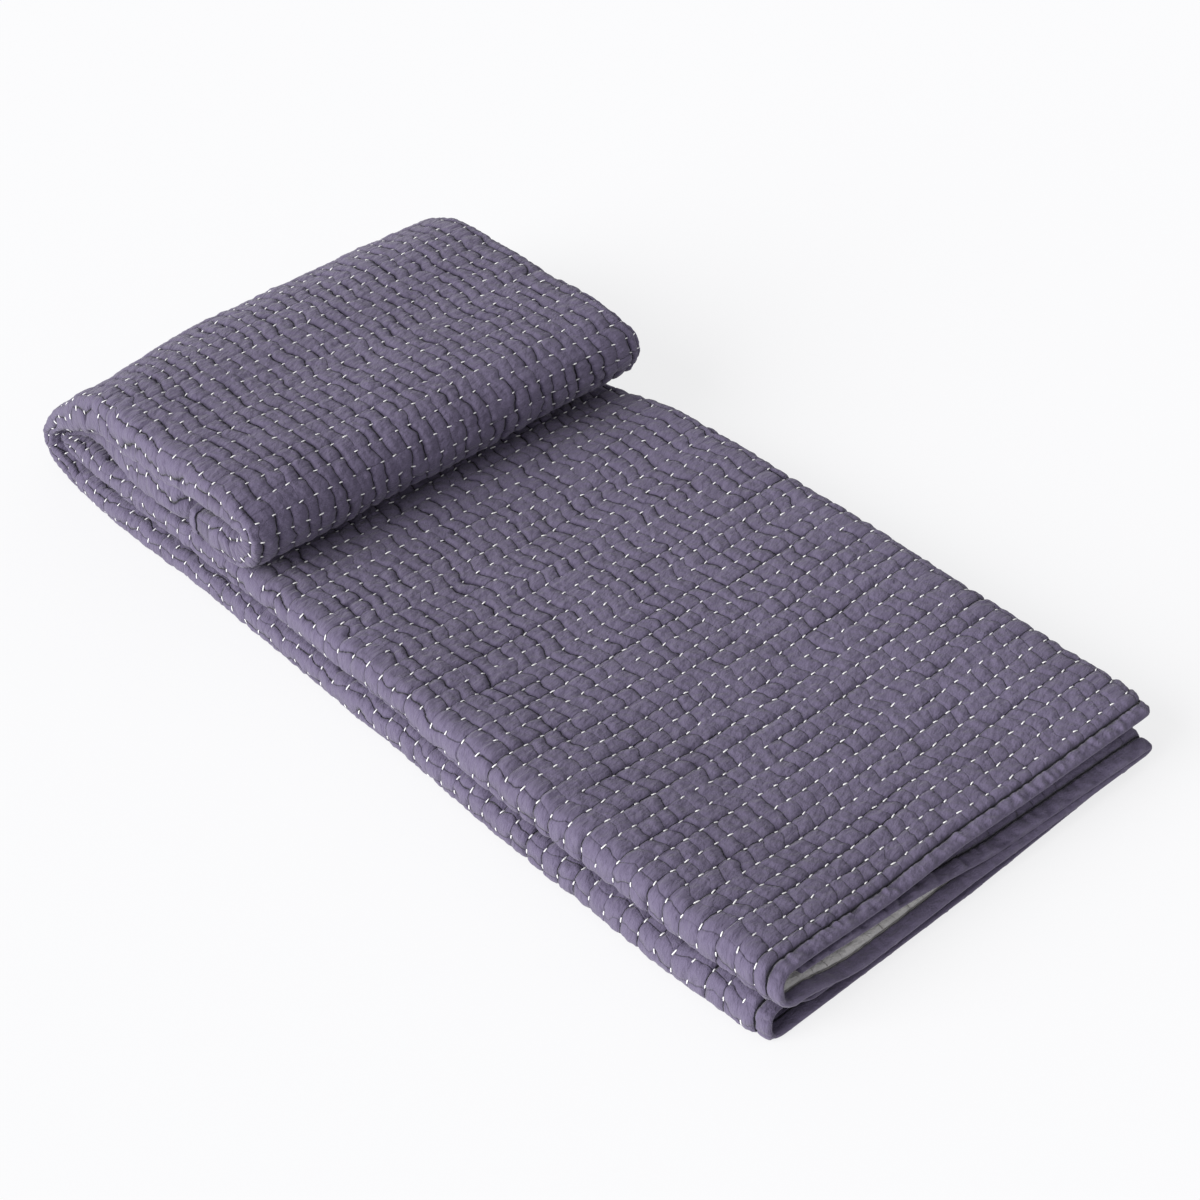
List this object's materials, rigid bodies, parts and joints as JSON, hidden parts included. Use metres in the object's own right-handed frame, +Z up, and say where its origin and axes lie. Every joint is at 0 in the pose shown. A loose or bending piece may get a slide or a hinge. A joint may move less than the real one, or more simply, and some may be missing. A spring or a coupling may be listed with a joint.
{
  "type": "quilted throw",
  "caption": "Quilted cotton throw folded lengthwise into a long strip, its far end turned back over itself and tucked under.",
  "frame": {"origin": "centre of the bounding box's underside", "axes": "+X towards the hemmed near end, +Z up, -Y towards the side where the cloth's two rounded folds lie one on the other"},
  "size_m": [0.851, 0.4114, 0.122],
  "materials": {
    "cotton": "soft washed cotton, dusty purple"
  },
  "bodies": {
    "root": {"throw": "cotton"}
  },
  "joints": []
}
